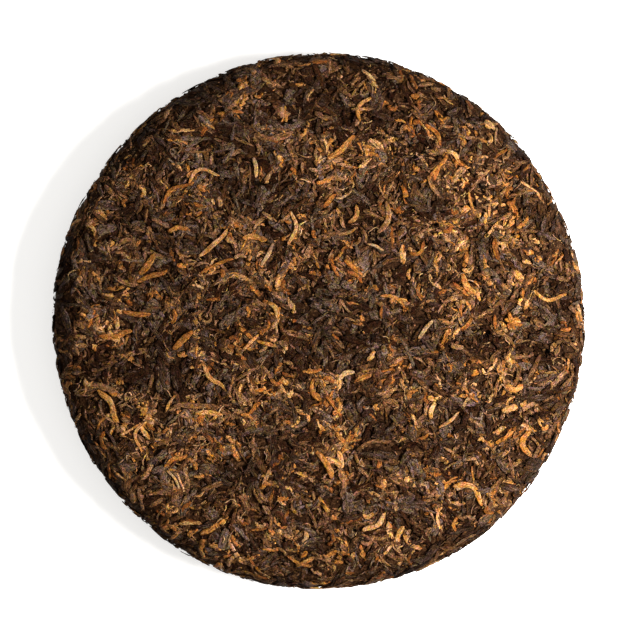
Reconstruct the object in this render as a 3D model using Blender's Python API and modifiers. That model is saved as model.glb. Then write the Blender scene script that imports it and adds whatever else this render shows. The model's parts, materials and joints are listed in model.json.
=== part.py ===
"""A pressed cake of tea: one round, hand-pressed disc of leaves.

The cake lies on its flat underside, front face up. Its front is a very low dome that rolls over a
round shoulder into the rim. Its underside is a flat ring round a shallow dimple, which the knot of
the pressing cloth leaves. Units are metres, +Z is up, and the origin is the middle of the base.
"""

import math

import bpy
from mathutils import Vector, noise

# Driving dimensions
DIAMETER = 0.200
HEIGHT = 0.0215
DOME_FALL = 0.0026
SHOULDER_WIDTH = 0.0125
WAIST_HEIGHT = 0.0088
FOOT_INSET = 0.0095
DIMPLE_DIAMETER = 0.052
DIMPLE_DEPTH = 0.0080

# The press bag is sewn and filled by hand, so the outline wanders from a true circle in a few broad
# lobes. The wander is the most that a lobe can stand in or out; more lobes make it change faster.
OUTLINE_WANDER = 0.0016
OUTLINE_LOBES = 1.4
PRESS_UNEVENNESS = 0.0004
PRESS_PATCH = 0.024
RIM_ROUGHNESS = 0.0005
RIM_LUMP = 0.0070

# How finely the surface is divided
STEPS_ROUND = 88
DOME_POINTS = 9
SHOULDER_POINTS = 7
FOOT_POINTS = 5
DIMPLE_POINTS = 6
MERGE_DISTANCE = 0.00005

RADIUS = DIAMETER / 2
SHOULDER_RADIUS = RADIUS - SHOULDER_WIDTH
FOOT_RADIUS = RADIUS - FOOT_INSET
DIMPLE_RADIUS = DIMPLE_DIAMETER / 2
SHOULDER_HEIGHT = HEIGHT - DOME_FALL

LEAF_COLOUR = (0.062, 0.036, 0.019, 1.0)
LEAF_ROUGHNESS = 0.72


def clear_scene():
    for obj in list(bpy.data.objects):
        bpy.data.objects.remove(obj, do_unlink=True)


def new_collection(name):
    collection = bpy.data.collections.new(name)
    bpy.context.scene.collection.children.link(collection)
    return collection


def pressed_leaf_material():
    """Dark, dry tea leaf: brown, matt and not metallic."""
    material = bpy.data.materials.new("pressed_leaf")
    material.use_nodes = True
    surface = material.node_tree.nodes["Principled BSDF"]
    surface.inputs["Base Color"].default_value = LEAF_COLOUR
    surface.inputs["Roughness"].default_value = LEAF_ROUGHNESS
    surface.inputs["Metallic"].default_value = 0.0
    return material


def dome_outline():
    """The front face, from the middle out to the shoulder, as a shallow parabola."""
    points = []
    for i in range(DOME_POINTS + 1):
        share = i / DOME_POINTS
        points.append((SHOULDER_RADIUS * share, HEIGHT - DOME_FALL * share**2))
    return points


def shoulder_outline():
    """The round shoulder, a quarter of an ellipse from the front face down to the waist."""
    points = []
    for i in range(1, SHOULDER_POINTS + 1):
        turn = math.pi / 2 * i / SHOULDER_POINTS
        radius = SHOULDER_RADIUS + SHOULDER_WIDTH * math.sin(turn)
        height = WAIST_HEIGHT + (SHOULDER_HEIGHT - WAIST_HEIGHT) * math.cos(turn)
        points.append((radius, height))
    return points


def foot_outline():
    """From the waist round to the flat ring that the cake rests on."""
    points = []
    for i in range(1, FOOT_POINTS + 1):
        turn = math.pi / 2 * i / FOOT_POINTS
        radius = FOOT_RADIUS + FOOT_INSET * math.cos(turn)
        height = WAIST_HEIGHT * (1 - math.sin(turn))
        points.append((radius, height))
    return points


def dimple_outline():
    """From the inner edge of the flat ring up to the middle of the dimple, as half a cosine."""
    points = []
    for i in range(DIMPLE_POINTS + 1):
        share = 1 - i / DIMPLE_POINTS
        points.append((DIMPLE_RADIUS * share, DIMPLE_DEPTH * (1 + math.cos(math.pi * share)) / 2))
    return points


def turned_profile(name, outline, collection):
    """Turns an outline of (radius, height) points, given from the top down, round the Z axis."""
    mesh = bpy.data.meshes.new(name)
    vertices = [(radius, 0.0, height) for radius, height in outline]
    edges = [(i, i + 1) for i in range(len(outline) - 1)]
    mesh.from_pydata(vertices, edges, [])
    profile = bpy.data.objects.new(name, mesh)
    collection.objects.link(profile)
    screw = profile.modifiers.new("turn", "SCREW")
    screw.axis = "Z"
    screw.angle = 2 * math.pi
    screw.steps = STEPS_ROUND
    screw.render_steps = STEPS_ROUND
    screw.use_merge_vertices = True
    screw.merge_threshold = MERGE_DISTANCE
    screw.use_smooth_shade = True
    return profile


def as_plain_mesh(profile, name, collection):
    """Replaces the turned profile by the mesh that its modifier makes."""
    bpy.context.view_layer.update()
    graph = bpy.context.evaluated_depsgraph_get()
    mesh = bpy.data.meshes.new_from_object(profile.evaluated_get(graph))
    bpy.data.objects.remove(profile, do_unlink=True)
    solid = bpy.data.objects.new(name, mesh)
    collection.objects.link(solid)
    return solid


def outline_wander(bearing):
    """How far the rim stands out from a true circle at this bearing."""
    outwards = Vector((math.cos(bearing), math.sin(bearing), 0.0))
    return OUTLINE_WANDER * noise.noise(outwards * OUTLINE_LOBES)


def pressed_place(point):
    """Where hand pressing leaves a point of the true turned shape."""
    radius = math.hypot(point.x, point.y)
    bearing = math.atan2(point.y, point.x)
    near_rim = (radius / RADIUS) ** 6
    lump = noise.noise(point / RIM_LUMP) * RIM_ROUGHNESS
    rests_on_table = point.z < MERGE_DISTANCE
    grown = near_rim * (outline_wander(bearing) + (0.0 if rests_on_table else lump))
    moved = point * (1 + grown / RADIUS)
    moved.z = point.z
    if point.z > WAIST_HEIGHT:
        share_up = (point.z - WAIST_HEIGHT) / (HEIGHT - WAIST_HEIGHT)
        patch = noise.noise(Vector((point.x, point.y, 0.0)) / PRESS_PATCH)
        moved.z += PRESS_UNEVENNESS * patch * share_up
    return moved


def centre_on_base(mesh):
    """Slides the mesh so that the origin is under the middle of its box."""
    for axis in (0, 1):
        low = min(vertex.co[axis] for vertex in mesh.vertices)
        high = max(vertex.co[axis] for vertex in mesh.vertices)
        for vertex in mesh.vertices:
            vertex.co[axis] -= (low + high) / 2


def make_tea_cake(collection):
    outline = dome_outline() + shoulder_outline() + foot_outline() + dimple_outline()
    profile = turned_profile("cake_profile", outline, collection)
    cake = as_plain_mesh(profile, "tea_cake", collection)
    for vertex in cake.data.vertices:
        vertex.co = pressed_place(vertex.co.copy())
    centre_on_base(cake.data)
    cake.data.shade_smooth()
    cake.data.materials.clear()
    cake.data.materials.append(pressed_leaf_material())
    return cake


def main():
    clear_scene()
    make_tea_cake(new_collection("tea cake"))


main()
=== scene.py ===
# %% [markdown]
# # A pressed cake of ripe tea
# A press bag full of steamed leaves is squeezed under a stone and dries as one hard disc. Its skin
# is a mosaic of thousands of rolled leaves, golden buds, stalks and crumbs, all pressed to the
# same height. The frame holds the disc as one solid. This lesson lays the real leaves over it: a
# slightly smaller core first, then one piece for each kind of leaf.

# %% The frame, the disc's box and the tools
import json
import math
import random

import bmesh
import bpy
from mathutils import Matrix, Vector, noise
from mathutils.bvhtree import BVHTree

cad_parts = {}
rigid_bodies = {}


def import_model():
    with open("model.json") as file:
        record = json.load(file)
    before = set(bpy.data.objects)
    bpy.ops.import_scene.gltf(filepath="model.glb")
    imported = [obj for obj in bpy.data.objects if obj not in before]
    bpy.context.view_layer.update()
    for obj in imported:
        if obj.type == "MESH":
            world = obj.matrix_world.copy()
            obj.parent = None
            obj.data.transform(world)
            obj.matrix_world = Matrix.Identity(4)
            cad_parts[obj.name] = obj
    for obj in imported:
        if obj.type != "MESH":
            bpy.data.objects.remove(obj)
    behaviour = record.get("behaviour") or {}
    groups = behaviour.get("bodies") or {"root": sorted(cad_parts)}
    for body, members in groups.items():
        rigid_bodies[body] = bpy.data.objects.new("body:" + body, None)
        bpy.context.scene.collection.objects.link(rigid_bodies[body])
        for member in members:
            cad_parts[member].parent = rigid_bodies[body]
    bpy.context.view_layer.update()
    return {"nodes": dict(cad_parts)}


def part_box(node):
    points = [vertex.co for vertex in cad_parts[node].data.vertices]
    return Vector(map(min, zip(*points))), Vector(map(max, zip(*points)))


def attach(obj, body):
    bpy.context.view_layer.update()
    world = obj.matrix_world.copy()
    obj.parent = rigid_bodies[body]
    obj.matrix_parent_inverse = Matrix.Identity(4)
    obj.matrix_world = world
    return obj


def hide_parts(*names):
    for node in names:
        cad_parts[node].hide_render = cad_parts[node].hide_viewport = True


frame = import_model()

LOW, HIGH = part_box("tea_cake")
RADIUS = (HIGH.x - LOW.x + HIGH.y - LOW.y) / 4
HEIGHT = HIGH.z - LOW.z
MM = 0.001
scene = bpy.context.scene
print(f"the disc is {RADIUS / MM * 2:.1f} mm across and {HEIGHT / MM:.1f} mm high")

# %% [markdown]
# ## Helpers for trees of nodes
# Both materials and Geometry Nodes are trees. Two small helpers keep every tree short: one adds a
# node with its settings and its sockets' values, and a value may be another node's output.


# %% Adding and linking nodes
def add(tree, kind, sockets=None, **settings):
    """Adds a node. Each socket, by name or number, takes a plain value or another socket."""
    node = tree.nodes.new(kind)
    for name, value in settings.items():
        setattr(node, name, value)
    for place, value in (sockets or {}).items():
        target = node.inputs[place]
        if isinstance(value, bpy.types.NodeSocket):
            tree.links.new(value, target)
        else:
            target.default_value = value
    return node


def out(node, place=0):
    return node.outputs[place]


# %% [markdown]
# ## The camera, the floor and the light
# The cake lies on a pale table and is seen from straight above through a long lens, so the rim
# hardly leans outwards. One soft lamp stands low on the right and draws the relief of the leaves;
# it stands close, so the right side is brighter. A pale sky fills the shadows.

# %% Camera straight above
VIEW_HALF_WIDTH = 120.25 * MM
WAIST = 9 * MM
LENS = 100.0
camera_data = bpy.data.cameras.new("camera")
camera_data.lens = LENS
camera_data.sensor_width = 36.0
camera_data.clip_end = 20.0
camera = bpy.data.objects.new("camera", camera_data)
scene.collection.objects.link(camera)
reach = VIEW_HALF_WIDTH * LENS / 18.0
camera.location = (0.55 * MM, 0.3 * MM, WAIST + reach)
scene.camera = camera
print(f"the camera hangs {reach:.2f} m above the cake")

# %% Floor, lamp and sky
floor_mesh = bpy.data.meshes.new("floor")
FLOOR = 3.0
floor_mesh.from_pydata(
    [(-FLOOR, -FLOOR, 0), (FLOOR, -FLOOR, 0), (FLOOR, FLOOR, 0), (-FLOOR, FLOOR, 0)],
    [],
    [(0, 1, 2, 3)],
)
floor = bpy.data.objects.new("floor", floor_mesh)
scene.collection.objects.link(floor)
paper = bpy.data.materials.new("pale_paper")
paper.use_nodes = True
paper.node_tree.nodes["Principled BSDF"].inputs["Base Color"].default_value = (0.62, 0.613, 0.60, 1)
paper.node_tree.nodes["Principled BSDF"].inputs["Roughness"].default_value = 0.9
paper.node_tree.nodes["Principled BSDF"].inputs["Emission Color"].default_value = (1, 0.99, 0.97, 1)
paper.node_tree.nodes["Principled BSDF"].inputs["Emission Strength"].default_value = 0.57
floor_mesh.materials.append(paper)

LAMP_BEARING = math.radians(-7)
LAMP_RISE = math.radians(41)
LAMP_AWAY = 400 * MM
lamp_data = bpy.data.lights.new("soft lamp", "AREA")
lamp_data.shape = "ELLIPSE"
lamp_data.size = 260 * MM
lamp_data.size_y = 95 * MM
lamp_data.energy = 7.3
lamp_data.color = (1.0, 0.985, 0.96)
lamp = bpy.data.objects.new("soft lamp", lamp_data)
scene.collection.objects.link(lamp)
towards = Vector(
    (
        math.cos(LAMP_RISE) * math.cos(LAMP_BEARING),
        math.cos(LAMP_RISE) * math.sin(LAMP_BEARING),
        math.sin(LAMP_RISE),
    )
)
lamp.location = towards * LAMP_AWAY
lamp.rotation_mode = "QUATERNION"
lamp.rotation_quaternion = towards.to_track_quat("Z", "Y")

sky = bpy.data.worlds.new("pale sky")
sky.use_nodes = True
sky.node_tree.nodes["Background"].inputs["Color"].default_value = (1.0, 1.0, 1.0, 1)
sky.node_tree.nodes["Background"].inputs["Strength"].default_value = 0.60
scene.world = sky
scene.view_settings.view_transform = "Standard"
print("camera, floor, lamp and sky are set")

# %% [markdown]
# ## The pressed skin
# Everything follows the height to which the bag pressed the leaves. The frame's mesh is loose
# triangles, so a copy is merged and rounded, and the leaves are laid along it. Three values are
# kept at each of its points: the outward direction, how many leaves lie there, and how loosely
# they are held. The bag squeezes the middle hard and the rim less.

# %% The skin that all leaves follow
skin_mesh = frame["nodes"]["tea_cake"].data.copy()
skin = bpy.data.objects.new("skin", skin_mesh)
scene.collection.objects.link(skin)
shell = bmesh.new()
shell.from_mesh(skin_mesh)
bmesh.ops.remove_doubles(shell, verts=shell.verts, dist=0.01 * MM)
shell.to_mesh(skin_mesh)
shell.free()
skin_mesh.shade_smooth()


def plain_mesh(obj):
    """Replaces an object's mesh by what its modifiers make of it."""
    bpy.context.view_layer.update()
    graph = bpy.context.evaluated_depsgraph_get()
    made = bpy.data.meshes.new_from_object(
        obj.evaluated_get(graph), preserve_all_data_layers=True, depsgraph=graph
    )
    obj.modifiers.clear()
    obj.data = made
    return obj


rounding = skin.modifiers.new("rounding", "SUBSURF")
rounding.levels = rounding.render_levels = 1
plain_mesh(skin)
skin_mesh = skin.data
LOOSE_FROM = 80 * MM


def keep_values(mesh, name, kind, values):
    """Keeps one value, or one vector, for each point of a mesh under a name."""
    kept = mesh.attributes.new(name, kind, "POINT")
    kept.data.foreach_set("vector" if kind == "FLOAT_VECTOR" else "value", values)


def how_loose(spot, normal):
    """0 where the bag squeezes hard, rising to 1 at the rim, and 0 again underneath."""
    share = (math.hypot(spot.x, spot.y) - LOOSE_FROM) / (RADIUS - LOOSE_FROM)
    above = min(max((normal.z + 0.75) / 0.5, 0.0), 1.0)
    return min(max(share, 0.0), 1.0) ** 1.5 * above


points = skin_mesh.vertices
keep_values(skin_mesh, "outward", "FLOAT_VECTOR", [n for point in points for n in point.normal])
keep_values(skin_mesh, "leafiness", "FLOAT", [0.4 if p.normal.z < -0.5 else 1.0 for p in points])
# The looseness also darkens the leaves' colour towards the rim in the finishes: painted shade.
keep_values(skin_mesh, "looseness", "FLOAT", [how_loose(p.co, p.normal) for p in points])
print(f"the skin has {len(skin_mesh.polygons)} faces")

# %% [markdown]
# ## Leaf shapes
# A leaf of this tea is steamed, rolled and dried, so it is a narrow crinkled strip with both
# margins rolled in, bent this way or that. A bud is a plump pointed strip, a stalk a thin round
# one. Each shape is made flat on the table as a thin closed body: a row of stations along a bent
# spine, five or seven points across the top, and a flat bottom. A dozen shapes of each kind are
# enough, since each copy is turned, stretched and laid over the cake afterwards.
#
# Four values go with each point: its height over the table, its place along and across the leaf
# and its place along the grain, so that veins and colours can follow the leaf.


# %% One leaf body from its spine, widths and ridges
def bent_spine(length, bend, sway, stations):
    """Points and headings of a spine from stalk end to tip, with its middle at the origin."""
    places, headings = [Vector((0.0, 0.0))], []
    step = length / (stations + 1)
    for i in range(stations + 2):
        share = i / (stations + 1)
        headings.append(bend * (share - 0.5) + sway * math.sin(2 * math.pi * share))
        turn = Vector((math.cos(headings[-1]), math.sin(headings[-1])))
        places.append(places[-1] + step * turn)
    places.pop()
    middle = sum(places, Vector((0.0, 0.0))) / len(places)
    return [place - middle for place in places], headings


def leaf_body(name, places, headings, half_widths, heights):
    """A closed body: pointed ends, a ridged top and a flat bottom. heights holds one row a station."""
    across = [2 * j / (len(heights[0]) - 1) - 1 for j in range(len(heights[0]))]
    across = [math.copysign(abs(a) ** 0.6, a) for a in across]
    count, last = len(heights), len(across) - 1
    verts = [(*places[0], 0.3 * heights[0][1])]
    facts = [(-1.0, 0.0, 0.0)]
    run = 0.0
    for i in range(count):
        side = Vector((-math.sin(headings[i + 1]), math.cos(headings[i + 1])))
        run += (places[i + 1] - places[i]).length
        for j, a in enumerate(across):
            spot = places[i + 1] + side * a * half_widths[i]
            verts.append((*spot, heights[i][j]))
            facts.append((2 * (i + 1) / (count + 1) - 1, a, run))
    run += (places[-1] - places[-2]).length
    verts.append((*places[-1], 0.3 * heights[-1][1]))
    facts.append((1.0, 0.0, run))
    tip = len(verts) - 1

    def at(i, j):
        return 1 + i * (last + 1) + j

    faces = [(0, at(0, last), at(0, 0)), (at(count - 1, last), tip, at(count - 1, 0))]
    for j in range(last):
        faces.append((0, at(0, j), at(0, j + 1)))
        faces.append((at(count - 1, j), tip, at(count - 1, j + 1)))
    for i in range(count - 1):
        faces.append((at(i, last), at(i + 1, last), at(i + 1, 0), at(i, 0)))
        for j in range(last):
            faces.append((at(i, j), at(i + 1, j), at(i + 1, j + 1), at(i, j + 1)))
    mesh = bpy.data.meshes.new(name)
    mesh.from_pydata(verts, [], faces)
    mesh.shade_smooth()
    widest = max(half_widths)
    keep_values(mesh, "rise", "FLOAT", [spot[2] for spot in verts])
    keep_values(mesh, "along", "FLOAT", [fact[0] for fact in facts])
    keep_values(mesh, "across", "FLOAT", [fact[1] for fact in facts])
    grain = [(distance / MM, a * widest / MM, 0.0) for _, a, distance in facts]
    keep_values(mesh, "grain", "FLOAT_VECTOR", [n for spot in grain for n in spot])
    return mesh


def shaped_leaf(name, draw, length, width, rise, bend, sway, ridges, blunt, ragged, points, stations):
    """One leaf of a kind, with its own chances drawn from draw."""
    length *= draw.uniform(0.75, 1.25)
    width *= draw.uniform(0.8, 1.2)
    places, headings = bent_spine(
        length, draw.uniform(-bend, bend), draw.uniform(-sway, sway), stations
    )
    phase, twist = draw.uniform(0, 2 * math.pi), draw.uniform(-2.5, 2.5)
    half_widths, heights = [], []
    for i in range(stations):
        share = (i + 1) / (stations + 1)
        taper = (1 - abs(2 * share - 1) ** blunt) ** 0.5
        half_widths.append(width / 2 * taper * draw.uniform(1 - ragged, 1 + ragged))
        row = []
        for j in range(points):
            a = 2 * j / (points - 1) - 1
            fold = math.cos(ridges * math.pi * a + phase + twist * share)
            body = 0.0 if abs(a) == 1 else 1.0
            height = rise * body * (0.56 + 0.44 * fold) * draw.uniform(0.7, 1.3)
            row.append(height * (0.45 + 0.55 * taper))
        heights.append(row)
    return leaf_body(name, places, headings, half_widths, heights)


# %% [markdown]
# ## Kinds of leaf
# A kind is a family of shapes: how long, how wide, how high its ridges stand, how strongly it
# bends and how blunt its ends are. Sizes are in millimetres, angles in radians.

# %% The kinds and their shapes
SHAPES_OF_A_KIND = 14
KINDS = {
    "broad": dict(length=10.0, width=4.6, rise=0.44, bend=0.9, sway=0.3, ridges=2.7,
                  blunt=2.6, ragged=0.18, points=7, stations=7),
    "rolled": dict(length=7.6, width=2.4, rise=0.46, bend=1.4, sway=0.5, ridges=2.1,
                   blunt=2.8, ragged=0.22, points=5, stations=7),
    "shred": dict(length=6.4, width=1.0, rise=0.44, bend=1.8, sway=0.8, ridges=1.2,
                  blunt=2.4, ragged=0.28, points=4, stations=6),
    "bud": dict(length=6.8, width=1.95, rise=0.52, bend=2.5, sway=0.8, ridges=1.4,
                blunt=2.4, ragged=0.22, points=5, stations=8),
    "fibre": dict(length=6.5, width=0.5, rise=0.30, bend=2.0, sway=0.8, ridges=0.0,
                  blunt=6.0, ragged=0.10, points=3, stations=6),
    "crumb": dict(length=2.8, width=1.3, rise=0.30, bend=0.8, sway=0.4, ridges=1.1,
                  blunt=2.2, ragged=0.30, points=4, stations=2),
    "dust": dict(length=1.35, width=0.62, rise=0.22, bend=0.5, sway=0.2, ridges=0.0,
                 blunt=2.2, ragged=0.35, points=3, stations=1),
}


def kind_shapes(kind, seed):
    """The shapes of one kind as hidden objects in a collection of their own."""
    shelf = bpy.data.collections.new(f"{kind} shapes")
    draw = random.Random(seed)
    facts = dict(KINDS[kind])
    for size in ("length", "width", "rise"):
        facts[size] *= MM
    for n in range(SHAPES_OF_A_KIND):
        mesh = shaped_leaf(f"{kind} {n:02d}", draw, **facts)
        shelf.objects.link(bpy.data.objects.new(mesh.name, mesh))
    return shelf


# %% [markdown]
# ## Laying leaves along the skin
# Thousands of leaves follow one rule, which is work for Geometry Nodes. Points are strewn over
# the skin. On each stands one shape, turned at random, or more along the rim where the bag drew
# the leaves round. Then every point of every leaf is laid on the skin: it goes to the nearest
# place on it and stands over it by its own height, by the leaf's layer and by a slight tilt. The
# press lets nothing through the skin, so heights are cut off softly there.
#
# Each leaf also gets a number, a tone and a shift of its grain, and a small square of its own in
# the map that carries its colours.

# %% The tree that lays one kind of leaf
SETTINGS = (
    ("Shapes", "NodeSocketCollection"),
    ("Leaves per area", "NodeSocketFloat"),
    ("Least gap", "NodeSocketFloat"),
    ("Patchiness", "NodeSocketFloat"),
    ("Smallest", "NodeSocketVector"),
    ("Largest", "NodeSocketVector"),
    ("Lowest layer", "NodeSocketFloat"),
    ("Highest layer", "NodeSocketFloat"),
    ("Looser by", "NodeSocketFloat"),
    ("Tilt", "NodeSocketFloat"),
    ("Squares a side", "NodeSocketFloat"),
    ("Seed", "NodeSocketInt"),
    ("Finish", "NodeSocketMaterial"),
)
PRESS_LIMIT = -0.03 * MM
PRESS_SOFTNESS = 0.16 * MM
PATCH_SIZE = 15 * MM
HOLLOW_SIZE = 4.5 * MM
HOLLOW_DEPTH = 0.65 * MM
RIM_PROUD = 0.7 * MM
CRACK_SPACING = 15 * MM
DRIFT_SIZE = 16 * MM
CRACK_DEPTH = 1.3 * MM


def leaf_tree():
    tree = bpy.data.node_groups.new("lay leaves", "GeometryNodeTree")
    face = tree.interface
    face.new_socket("Geometry", in_out="INPUT", socket_type="NodeSocketGeometry")
    for title, kind in SETTINGS:
        face.new_socket(title, in_out="INPUT", socket_type=kind)
    face.new_socket("Geometry", in_out="OUTPUT", socket_type="NodeSocketGeometry")
    given = add(tree, "NodeGroupInput").outputs

    def maths(operation, a, b=0.0, c=0.0):
        return out(add(tree, "ShaderNodeMath", {0: a, 1: b, 2: c}, operation=operation))

    def vectors(operation, a, b=(0, 0, 0)):
        return out(add(tree, "ShaderNodeVectorMath", {0: a, 1: b}, operation=operation))

    def chance(low, high, salt, kind="FLOAT"):
        low_at, high_at, at = {"FLOAT": (2, 3, 1), "INT": (4, 5, 2), "FLOAT_VECTOR": (0, 1, 0)}[kind]
        seed = maths("ADD", given["Seed"], salt)
        node = add(
            tree, "FunctionNodeRandomValue", {low_at: low, high_at: high, "Seed": seed}, data_type=kind
        )
        return out(node, at)

    def kept(name, kind="FLOAT"):
        return out(add(tree, "GeometryNodeInputNamedAttribute", {"Name": name}, data_type=kind))

    def of_skin(name, kind, place):
        value_at = {"FLOAT": "Value", "FLOAT_VECTOR": "Value"}[kind]
        node = add(
            tree,
            "GeometryNodeSampleNearestSurface",
            {"Mesh": given["Geometry"], value_at: kept(name, kind), "Sample Position": place},
            data_type=kind,
        )
        return out(node)

    place = out(add(tree, "GeometryNodeInputPosition"))
    patch = add(
        tree, "ShaderNodeTexNoise", {"Vector": place, "Scale": 1 / PATCH_SIZE, "Detail": 3.0}
    )
    rich = add(
        tree,
        "ShaderNodeMapRange",
        {"Value": out(patch), "From Min": 0.38, "From Max": 0.60,
         "To Min": maths("MINIMUM", maths("SUBTRACT", 1.0, given["Patchiness"]), 1.0),
         "To Max": maths("MINIMUM", maths("ADD", 1.0, given["Patchiness"]), 1.0)},
        interpolation_type="SMOOTHSTEP",
    )
    share = maths("MULTIPLY", kept("leafiness"), out(rich))
    strewn = add(
        tree,
        "GeometryNodeDistributePointsOnFaces",
        {
            "Mesh": given["Geometry"],
            "Distance Min": given["Least gap"],
            "Density Max": given["Leaves per area"],
            "Density Factor": share,
            "Seed": given["Seed"],
        },
        distribute_method="POISSON",
    )
    normal = of_skin("outward", "FLOAT_VECTOR", place)
    loose = of_skin("looseness", "FLOAT", place)
    upright = add(
        tree, "FunctionNodeAlignRotationToVector", {"Vector": normal}, axis="Z", pivot_axis="AUTO"
    )
    around = vectors("CROSS_PRODUCT", (0, 0, 1), place)
    along_rim = add(
        tree,
        "FunctionNodeAlignRotationToVector",
        {"Rotation": out(upright), "Vector": around},
        axis="X",
        pivot_axis="Z",
    )
    freedom = maths("MULTIPLY_ADD", loose, -1.9, math.pi)
    drift = add(
        tree, "ShaderNodeTexNoise", {"Vector": place, "Scale": 1 / DRIFT_SIZE, "Detail": 1.0}
    )
    spin = maths("ADD", maths("MULTIPLY", chance(-0.32, 0.32, 1), freedom),
                 maths("MULTIPLY", maths("SUBTRACT", out(drift), 0.5), maths("MULTIPLY", freedom, 6.0)))
    turned = add(
        tree,
        "FunctionNodeRotateRotation",
        {
            0: out(along_rim),
            1: out(add(tree, "FunctionNodeEulerToRotation",
                       {0: out(add(tree, "ShaderNodeCombineXYZ", {"Z": spin}))})),
        },
        rotation_space="LOCAL",
    )
    shelf = add(
        tree,
        "GeometryNodeCollectionInfo",
        {"Collection": given["Shapes"], "Separate Children": True, "Reset Children": True},
    )
    laid = add(
        tree,
        "GeometryNodeInstanceOnPoints",
        {
            "Points": out(strewn),
            "Instance": out(shelf),
            "Pick Instance": True,
            "Instance Index": chance(0, SHAPES_OF_A_KIND - 1, 2, "INT"),
            "Rotation": out(turned),
            "Scale": chance(given["Smallest"], given["Largest"], 3, "FLOAT_VECTOR"),
        },
    )
    deeper = maths("MULTIPLY", loose, given["Looser by"])
    layer = chance(
        maths("SUBTRACT", given["Lowest layer"], deeper),
        maths("MULTIPLY_ADD", loose, RIM_PROUD, given["Highest layer"]),
        4,
    )
    loose_here = of_skin("looseness", "FLOAT", out(add(tree, "GeometryNodeInputPosition")))
    flow = out(laid)
    for name, kind, value in (
        ("leaf_number", "FLOAT", out(add(tree, "GeometryNodeInputIndex"))),
        ("tone", "FLOAT", chance(0.0, 1.0, 5)),
        ("loose", "FLOAT", loose_here),
        ("layer", "FLOAT", layer),
        ("tilt", "FLOAT", maths("MULTIPLY", chance(-1.0, 1.0, 6), given["Tilt"])),
        ("lean", "FLOAT", maths("MULTIPLY", chance(-0.6, 0.6, 7), given["Tilt"])),
        ("shift", "FLOAT_VECTOR", chance((0, 0, 0), (90, 90, 90), 8, "FLOAT_VECTOR")),
    ):
        flow = out(
            add(
                tree,
                "GeometryNodeStoreNamedAttribute",
                {"Geometry": flow, "Name": name, "Value": value},
                data_type=kind,
                domain="INSTANCE",
            )
        )
    real = out(add(tree, "GeometryNodeRealizeInstances", {"Geometry": flow}))
    foot = add(
        tree, "GeometryNodeProximity", {"Target": given["Geometry"]}, target_element="FACES"
    )
    height = maths("ADD", kept("rise"), kept("layer"))
    height = maths("MULTIPLY_ADD", kept("tilt"), kept("along"), height)
    height = maths("MULTIPLY_ADD", kept("lean"), kept("across"), height)
    dent = add(
        tree, "ShaderNodeTexNoise", {"Vector": place, "Scale": 1 / HOLLOW_SIZE, "Detail": 3.0,
                                     "Roughness": 0.6}
    )
    hollow = add(
        tree,
        "ShaderNodeMapRange",
        {"Value": out(dent), "From Min": 0.52, "From Max": 0.72, "To Min": PRESS_LIMIT,
         "To Max": PRESS_LIMIT - HOLLOW_DEPTH},
        interpolation_type="SMOOTHSTEP",
    )
    course = add(
        tree, "ShaderNodeTexNoise", {"Vector": place, "Scale": 1 / CRACK_SPACING, "Detail": 3.0,
                                     "Roughness": 0.6, "Distortion": 0.4}
    )
    off_course = maths("ABSOLUTE", maths("SUBTRACT", out(course), 0.5))
    crack = add(tree, "ShaderNodeMapRange", {
        "Value": off_course, "From Min": 0.0, "From Max": 0.022, "To Min": CRACK_DEPTH,
        "To Max": 0.0})
    cracked = add(tree, "ShaderNodeMapRange", {
        "Value": out(patch), "From Min": 0.46, "From Max": 0.56, "To Min": 1.0, "To Max": 0.0})
    groove = maths("MULTIPLY", out(crack), out(cracked))
    limit = maths("SUBTRACT", out(hollow), groove)
    limit = maths("MULTIPLY_ADD", kept("loose"), RIM_PROUD, limit)
    height = maths("SMOOTH_MIN", height, limit, PRESS_SOFTNESS)
    raised = out(add(tree, "ShaderNodeVectorMath", {0: normal, "Scale": height}, operation="SCALE"))
    pressed = add(
        tree,
        "GeometryNodeSetPosition",
        {"Geometry": real, "Position": vectors("ADD", out(foot), raised)},
    )
    side = given["Squares a side"]
    number = kept("leaf_number")
    column = maths("MODULO", number, side)
    row = maths("FLOOR", maths("DIVIDE", number, side))
    squares = [
        maths("DIVIDE", maths("ADD", cell, maths("MULTIPLY_ADD", kept(name), 0.44, 0.5)), side)
        for cell, name in ((column, "along"), (row, "across"))
    ]
    mapped = add(
        tree,
        "GeometryNodeStoreNamedAttribute",
        {
            "Geometry": out(pressed),
            "Name": "OFBake",
            "Value": out(add(tree, "ShaderNodeCombineXYZ", {0: squares[0], 1: squares[1]})),
        },
        data_type="FLOAT2",
        domain="CORNER",
    )
    finished = add(
        tree, "GeometryNodeSetMaterial", {"Geometry": out(mapped), "Material": given["Finish"]}
    )
    add(tree, "NodeGroupOutput", {0: out(finished)})
    return tree


LAY_LEAVES = leaf_tree()
print(f"the tree that lays leaves has {len(LAY_LEAVES.nodes)} nodes")


# %% [markdown]
# ## Running the tree for one kind
# The skin's copy carries the tree as a modifier. Its inputs are set by their identifiers, then
# the evaluated result becomes a plain mesh and the modifier goes.


# %% From a tree to a finished piece
def triangles(mesh):
    return sum(len(face.vertices) - 2 for face in mesh.polygons)


def lay_kind(name, kind, seed, finish, slot, **sizes):
    piece = bpy.data.objects.new(name, skin_mesh.copy())
    scene.collection.objects.link(piece)
    shelf = kind_shapes(kind, seed)
    rule = piece.modifiers.new("lay leaves", "NODES")
    rule.node_group = LAY_LEAVES
    given = {"Shapes": shelf, "Seed": seed, "Finish": finish, "Squares a side": 60.0, **sizes}
    for item in LAY_LEAVES.interface.items_tree:
        if item.in_out == "INPUT" and item.name in given:
            rule[item.identifier] = given[item.name]
    plain_mesh(piece)
    count = int(max(v.value for v in piece.data.attributes["leaf_number"].data)) + 1
    for shape in list(shelf.objects):
        bpy.data.objects.remove(shape, do_unlink=True)
    bpy.data.collections.remove(shelf)
    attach(piece, "root")
    print(f"{name}: {count} of them, {triangles(piece.data)} triangles")
    return piece
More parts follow.
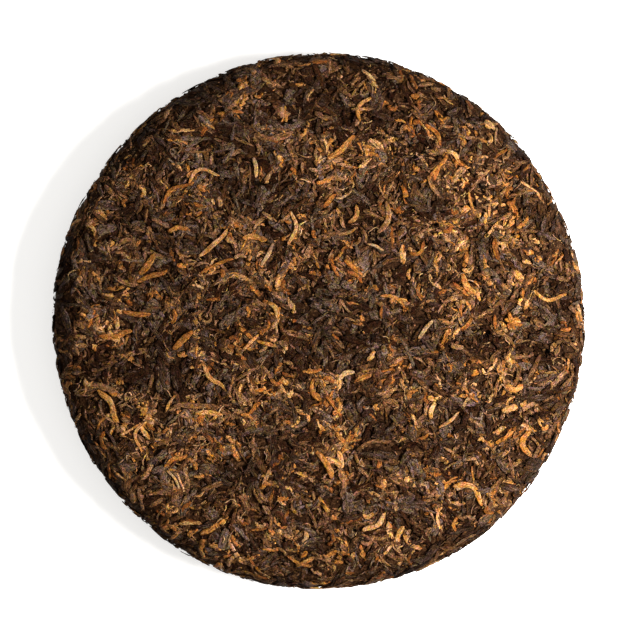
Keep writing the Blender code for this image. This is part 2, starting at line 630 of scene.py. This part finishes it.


# %% [markdown]
# ## Finishes
# A leaf's colour is drawn from its kind's tones. Veins run along the grain, and fine wrinkles
# catch the lamp as tiny glints.


# %% One finish for all leaves, with a kind's own tones
# How much darker the leaves are painted at the rim: painted shade for the rim rolling away from the
# lamp.
RIM_PAINTED_SHADE = 0.38
SPECK_SIZE = 0.5 * MM
DARKER_ENDS = -0.18
HUE_SPREAD = (1.5, 1.2, 4.6)


def leaf_finish(name, tones, mottle=0.9, shades=(0.35, 1.6), rough=(0.45, 0.65), wrinkle=0.8,
                glint=0.06, specked=(0.42, 1.62)):
    """tones is a list of (share, colour) along the kind's range of tones."""
    finish = bpy.data.materials.new(name)
    finish.use_nodes = True
    tree = finish.node_tree
    surface = tree.nodes["Principled BSDF"]

    def maths(operation, a, b=0.0, c=0.0):
        return out(add(tree, "ShaderNodeMath", {0: a, 1: b, 2: c}, operation=operation))

    def kept(title, place):
        node = add(tree, "ShaderNodeAttribute", attribute_name=title)
        return out(node, place)

    def spread(value, low, high):
        return out(add(tree, "ShaderNodeMapRange", {
            "Value": value, "From Min": 0.36, "From Max": 0.64, "To Min": low, "To Max": high}))

    place = out(add(tree, "ShaderNodeVectorMath", {0: kept("grain", 1), 1: kept("shift", 1)},
                    operation="ADD"))
    veins = out(add(tree, "ShaderNodeTexNoise", {
        "Vector": out(add(tree, "ShaderNodeMapping", {0: place, "Scale": (0.42, 1.3, 1.0)})),
        "Scale": 1.0, "Detail": 5.0, "Roughness": 0.66, "Distortion": 0.5}))
    wrinkles = out(add(tree, "ShaderNodeTexNoise", {
        "Vector": out(add(tree, "ShaderNodeMapping", {0: place, "Scale": (1.0, 1.8, 1.0)})),
        "Scale": 1.0, "Detail": 5.0, "Roughness": 0.75, "Distortion": 0.9}))
    along = kept("along", 2)
    tone = maths("ADD", kept("tone", 2), spread(veins, -0.4 * mottle, 0.4 * mottle))
    tone = maths("MULTIPLY_ADD", maths("MULTIPLY", along, along), DARKER_ENDS, tone)
    ramp = add(tree, "ShaderNodeValToRGB", {0: tone})
    steps = ramp.color_ramp.elements
    while len(steps) < len(tones):
        steps.new(0.5)
    for step, (share, colour) in zip(steps, tones):
        step.position = share
        step.color = (*colour, 1)
    anywhere = out(add(tree, "ShaderNodeTexCoord"), 3)
    stains = out(add(tree, "ShaderNodeTexNoise", {
        "Vector": anywhere, "Scale": 1 / PATCH_SIZE, "Detail": 3.0}))
    specks = out(add(tree, "ShaderNodeTexNoise", {
        "Vector": anywhere, "Scale": 1 / SPECK_SIZE, "Detail": 3.0, "Roughness": 0.6}))
    shade = maths("MULTIPLY", spread(wrinkles, *shades), spread(stains, 0.74, 1.26))
    shade = maths("MULTIPLY", shade, spread(specks, *specked))
    # Painted shade: the colour darkens towards the rim, where the leaves lie loose, but not underneath.
    shade = maths("MULTIPLY", shade, maths("MULTIPLY_ADD", kept("loose", 2), -RIM_PAINTED_SHADE, 1.0))
    colour = add(tree, "ShaderNodeVectorMath", {0: out(ramp), "Scale": shade}, operation="SCALE")
    hues = add(tree, "ShaderNodeTexNoise", {
        "Vector": place, "Scale": 0.6, "Detail": 5.0, "Roughness": 0.75})
    hue = add(tree, "ShaderNodeVectorMath", {
        0: out(hues, 1), 1: HUE_SPREAD, 2: [1 - spread_ / 2 for spread_ in HUE_SPREAD]},
        operation="MULTIPLY_ADD")
    colour = add(tree, "ShaderNodeVectorMath", {0: out(colour), 1: out(hue)}, operation="MULTIPLY")
    tree.links.new(out(colour), surface.inputs["Base Color"])
    tree.links.new(spread(wrinkles, *rough), surface.inputs["Roughness"])
    surface.inputs["Specular IOR Level"].default_value = glint
    relief = maths("MULTIPLY_ADD", veins, 1.0, wrinkles)
    relief = maths("MULTIPLY_ADD", specks, 0.5, relief)
    bump = add(tree, "ShaderNodeBump", {"Height": relief, "Strength": wrinkle, "Distance": 1.1 * MM})
    tree.links.new(out(bump), surface.inputs["Normal"])
    return finish


# %% The tones
dark_finish = leaf_finish("dark_leaf", [
    (0.0, (0.0120, 0.0034, 0.0009)), (0.3, (0.0220, 0.0092, 0.0038)), (0.58, (0.039, 0.0210, 0.0118)),
    (0.82, (0.067, 0.0392, 0.0236)), (1.0, (0.102, 0.0625, 0.0405))], wrinkle=1.0, glint=0.02,
    shades=(0.45, 1.5), specked=(0.2, 1.85))
brown_finish = leaf_finish("brown_leaf", [
    (0.0, (0.027, 0.0097, 0.0032)), (0.4, (0.054, 0.0232, 0.0090)), (0.7, (0.087, 0.0390, 0.0155)),
    (0.88, (0.122, 0.0570, 0.0240)), (1.0, (0.168, 0.0840, 0.0380))], wrinkle=0.9, glint=0.015,
    specked=(0.3, 1.75))
tan_finish = leaf_finish("tan_leaf", [
    (0.0, (0.050, 0.0210, 0.0078)), (0.4, (0.094, 0.0415, 0.0155)), (0.7, (0.148, 0.0680, 0.0260)),
    (1.0, (0.208, 0.1070, 0.0470))], wrinkle=0.8, glint=0.03)
gold_finish = leaf_finish("golden_bud", [
    (0.0, (0.094, 0.0270, 0.0045)), (0.35, (0.170, 0.0600, 0.0110)), (0.7, (0.240, 0.1040, 0.0260)),
    (1.0, (0.290, 0.1580, 0.0640))], shades=(0.45, 1.32), wrinkle=0.6, glint=0.04)
fibre_finish = leaf_finish("pale_stalk", [
    (0.0, (0.050, 0.0238, 0.0098)), (0.5, (0.122, 0.0665, 0.0305)), (1.0, (0.265, 0.1530, 0.0650))],
    shades=(0.6, 1.3), wrinkle=0.3)
dust_finish = leaf_finish("leaf_dust", [
    (0.0, (0.007, 0.0024, 0.0007)), (0.4, (0.021, 0.0091, 0.0035)), (0.7, (0.052, 0.0262, 0.0122)),
    (1.0, (0.115, 0.0605, 0.0298))], wrinkle=0.3, glint=0.015)

# %% [markdown]
# ## The core
# Under the leaves lies the imported body of the cake. Nobody sees more of it than glimpses between
# leaves, so it is the skin drawn in by about a millimetre, subdivided once, with leaf-like
# ridges raised on it.

# %% The imported core
CORE_DEPTH = 1.15 * MM
RIM_DEPTH = -0.75 * MM
RIDGE = 0.5 * MM

core = bpy.data.objects.new("pressed_core", skin_mesh.copy())
scene.collection.objects.link(core)
finer = core.modifiers.new("finer", "SUBSURF")
finer.levels = finer.render_levels = 1
plain_mesh(core)
moved = []
for vertex in core.data.vertices:
    spot, normal = vertex.co, vertex.normal
    wander = noise.noise_vector(spot / (6 * MM))
    ridge = noise.noise(spot / (1.7 * MM) + wander * 2.0) + 0.5 * noise.noise(spot / (0.9 * MM))
    depth = CORE_DEPTH + RIM_DEPTH * how_loose(spot, normal) - RIDGE * ridge
    moved.extend(spot - normal * depth)
core.data.vertices.foreach_set("co", moved)
core_finish = bpy.data.materials.new("packed_leaf")
core_finish.use_nodes = True
core_tree = core_finish.node_tree
core_surface = core_tree.nodes["Principled BSDF"]
core_place = out(add(core_tree, "ShaderNodeTexCoord"), 3)
core_streak = add(core_tree, "ShaderNodeTexNoise", {
    "Vector": core_place, "Scale": 1 / (1.6 * MM), "Detail": 5.0, "Roughness": 0.65,
    "Distortion": 1.6})
core_ramp = add(core_tree, "ShaderNodeValToRGB", {0: out(core_streak)})
core_steps = core_ramp.color_ramp.elements
core_steps[0].position, core_steps[0].color = 0.40, (0.006, 0.0021, 0.0007, 1)
core_steps[1].position, core_steps[1].color = 0.68, (0.060, 0.0285, 0.0120, 1)
core_steps.new(0.55).color = (0.019, 0.0078, 0.0029, 1)
core_tree.links.new(out(core_ramp), core_surface.inputs["Base Color"])
core_surface.inputs["Roughness"].default_value = 0.6
core_surface.inputs["Specular IOR Level"].default_value = 0.015
core_bump = add(core_tree, "ShaderNodeBump", {
    "Height": out(core_streak), "Strength": 0.7, "Distance": 0.4 * MM})
core_tree.links.new(out(core_bump), core_surface.inputs["Normal"])
core.data.materials.clear()
core.data.materials.append(core_finish)
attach(core, "root")
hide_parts("tea_cake")
print(f"the core has {triangles(core.data)} triangles")

# %% The leaves, kind by kind
lay_kind("broad_dark_leaves", "broad", 11, dark_finish, "pressed_leaf",
         **{"Leaves per area": 34000.0, "Least gap": 3.4 * MM, "Patchiness": -0.35,
            "Smallest": (0.7, 0.5, 0.8), "Largest": (1.35, 1.1, 1.0), "Lowest layer": -1.2 * MM,
            "Highest layer": -0.25 * MM, "Looser by": 0.3 * MM, "Tilt": 0.3 * MM,
            "Squares a side": 38.0})
lay_kind("dark_leaves", "rolled", 21, dark_finish, "pressed_leaf",
         **{"Leaves per area": 64000.0, "Least gap": 1.7 * MM, "Patchiness": -0.4,
            "Smallest": (0.8, 0.5, 0.8), "Largest": (1.8, 1.25, 1.0), "Lowest layer": -1.0 * MM,
            "Highest layer": -0.2 * MM, "Looser by": 0.3 * MM, "Tilt": 0.3 * MM})
lay_kind("brown_leaves", "rolled", 31, brown_finish, "pressed_leaf",
         **{"Leaves per area": 66000.0, "Least gap": 1.6 * MM, "Patchiness": 0.7,
            "Smallest": (0.7, 0.45, 0.8), "Largest": (1.6, 1.05, 1.0), "Lowest layer": -1.0 * MM,
            "Highest layer": -0.2 * MM, "Looser by": 0.3 * MM, "Tilt": 0.3 * MM})
lay_kind("tan_leaves", "rolled", 41, tan_finish, "pressed_leaf",
         **{"Leaves per area": 42000.0, "Least gap": 1.0 * MM, "Patchiness": 0.88,
            "Smallest": (0.5, 0.4, 0.8), "Largest": (1.25, 0.95, 1.0), "Lowest layer": -0.95 * MM,
            "Highest layer": -0.15 * MM, "Looser by": 0.3 * MM, "Tilt": 0.3 * MM})
lay_kind("leaf_shreds", "shred", 81, brown_finish, "pressed_leaf",
         **{"Leaves per area": 36000.0, "Least gap": 0.9 * MM, "Patchiness": 0.6,
            "Smallest": (0.5, 0.6, 0.8), "Largest": (1.3, 1.4, 1.0), "Lowest layer": -0.8 * MM,
            "Highest layer": -0.1 * MM, "Looser by": 0.3 * MM, "Tilt": 0.3 * MM})
lay_kind("golden_buds", "bud", 51, gold_finish, "golden_bud",
         **{"Leaves per area": 49000.0, "Least gap": 0.7 * MM, "Patchiness": 0.9,
            "Smallest": (0.45, 0.55, 0.8), "Largest": (1.45, 1.25, 1.0), "Lowest layer": -0.95 * MM,
            "Highest layer": -0.15 * MM, "Looser by": 0.3 * MM, "Tilt": 0.4 * MM})
lay_kind("stalks_and_fibres", "fibre", 61, fibre_finish, "pale_stalk",
         **{"Leaves per area": 24000.0, "Least gap": 0.8 * MM, "Patchiness": 0.8,
            "Smallest": (0.4, 0.6, 0.9), "Largest": (1.2, 1.4, 1.0), "Lowest layer": -0.7 * MM,
            "Highest layer": -0.1 * MM, "Looser by": 0.3 * MM, "Tilt": 0.25 * MM})
lay_kind("leaf_crumbs", "crumb", 71, brown_finish, "pressed_leaf",
         **{"Leaves per area": 110000.0, "Least gap": 0.9 * MM, "Patchiness": 0.3,
            "Smallest": (0.4, 0.4, 0.9), "Largest": (1.3, 1.2, 1.0), "Lowest layer": -0.9 * MM,
            "Highest layer": -0.2 * MM, "Looser by": 0.3 * MM, "Tilt": 0.15 * MM,
            "Squares a side": 100.0})

lay_kind("leaf_dust", "dust", 101, dust_finish, "pressed_leaf",
         **{"Leaves per area": 200000.0, "Least gap": 0.5 * MM, "Patchiness": 0.2,
            "Smallest": (0.4, 0.5, 0.9), "Largest": (1.5, 1.5, 1.2), "Lowest layer": -0.6 * MM,
            "Highest layer": -0.1 * MM, "Looser by": 0.3 * MM, "Tilt": 0.1 * MM,
            "Squares a side": 150.0})

# %% [markdown]
# ## The long strands
# A few dozen buds, leaves and stalks are longer and brighter than the rest and give the cake its
# face. There are too few of them for a tree of nodes to be worth its while, so a loop makes them:
# a bent spine of chance length, its middle anywhere on the front and its heading any way round. It
# is built like every other leaf and then dropped onto the skin, where it lies a little proud.
#
# Lengths and widths are in millimetres: the least, the most and the most common.

# %% Strands strewn over the front
STRAND_STATIONS = 12
STRAND_POINTS = 7
STRAND_BLUNT = 3.2
STRAND_RAGGED = 0.14
STRAND_SUNK = 0.4 * MM
RIM_MARGIN = 3.5 * MM
PROUD = 0.22 * MM
front = BVHTree.FromPolygons(
    [point.co for point in skin_mesh.vertices],
    [list(face.vertices) for face in skin_mesh.polygons],
)


def strewn_spine(draw, length, bend, sway):
    """A bent spine, turned any way round, with its middle anywhere on the front."""
    places, headings = bent_spine(
        length, draw.uniform(-bend, bend), draw.uniform(-sway, sway), STRAND_STATIONS
    )
    away = (RADIUS - RIM_MARGIN - length / 2) * math.sqrt(draw.random())
    bearing = draw.uniform(0, 2 * math.pi)
    middle = away * Vector((math.cos(bearing), math.sin(bearing)))
    turn = draw.uniform(0, 2 * math.pi)
    turned = Matrix.Rotation(turn, 2)
    return [middle + turned @ place for place in places], [turn + h for h in headings]


def strand_body(draw, length, width, bend, sway):
    """A leaf body along a strewn spine, dropped on the front of the skin."""
    places, headings = strewn_spine(draw, length, bend, sway)
    half_widths, heights = [], []
    for i in range(STRAND_STATIONS):
        share = (i + 1) / (STRAND_STATIONS + 1)
        taper = (1 - abs(2 * share - 1) ** STRAND_BLUNT) ** 0.5
        half_widths.append(width / 2 * taper * draw.uniform(1 - STRAND_RAGGED, 1 + STRAND_RAGGED))
        row = [draw.uniform(0.42, 0.75) * MM * (0.5 + 0.5 * taper) for _ in range(STRAND_POINTS)]
        row[0] = 0.0
        row[-1] = 0.0
        heights.append(row)
    body = leaf_body("strand", places, headings, half_widths, heights)
    for point in body.vertices:
        x, y, rise = point.co
        spot, normal, _, _ = front.ray_cast(Vector((x, y, 1)), Vector((0, 0, -1)))
        point.co = spot + normal * min(rise - STRAND_SUNK, PROUD)
    return body


def lay_strands(name, count, finish, seed, lengths, widths, tones, bend, sway):
    """Strands of one kind, joined into one piece."""
    draw = random.Random(seed)
    parts = bmesh.new()
    for _ in range(count):
        length = draw.triangular(*lengths) * MM
        width = draw.triangular(*widths) * MM
        body = strand_body(draw, length, width, bend, sway)
        points_of_body = len(body.vertices)
        shift = [draw.uniform(0, 90) for _ in range(3)]
        keep_values(body, "tone", "FLOAT", [draw.uniform(*tones)] * points_of_body)
        keep_values(body, "shift", "FLOAT_VECTOR", shift * points_of_body)
        parts.from_mesh(body)
        bpy.data.meshes.remove(body)
    mesh = bpy.data.meshes.new(name)
    parts.to_mesh(mesh)
    parts.free()
    mesh.shade_smooth()
    mesh.materials.append(finish)
    piece = bpy.data.objects.new(name, mesh)
    scene.collection.objects.link(piece)
    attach(piece, "root")
    print(f"{name}: {count} strands, {triangles(mesh)} triangles")


lay_strands("long_golden_buds", 46, gold_finish, 91, lengths=(5, 20, 8),
            widths=(1.2, 2.8, 1.4), tones=(0.2, 0.95), bend=1.5, sway=0.6)
lay_strands("long_tan_leaves", 12, tan_finish, 92, lengths=(5, 19, 10),
            widths=(1.1, 2.9, 1.5), tones=(0.3, 0.7), bend=1.2, sway=0.6)
lay_strands("long_pale_stalks", 7, fibre_finish, 93, lengths=(4, 12, 8),
            widths=(1.0, 2.2, 1.6), tones=(0.7, 0.95), bend=0.6, sway=0.3)

# %% Leaving the skin behind
bpy.data.objects.remove(skin, do_unlink=True)
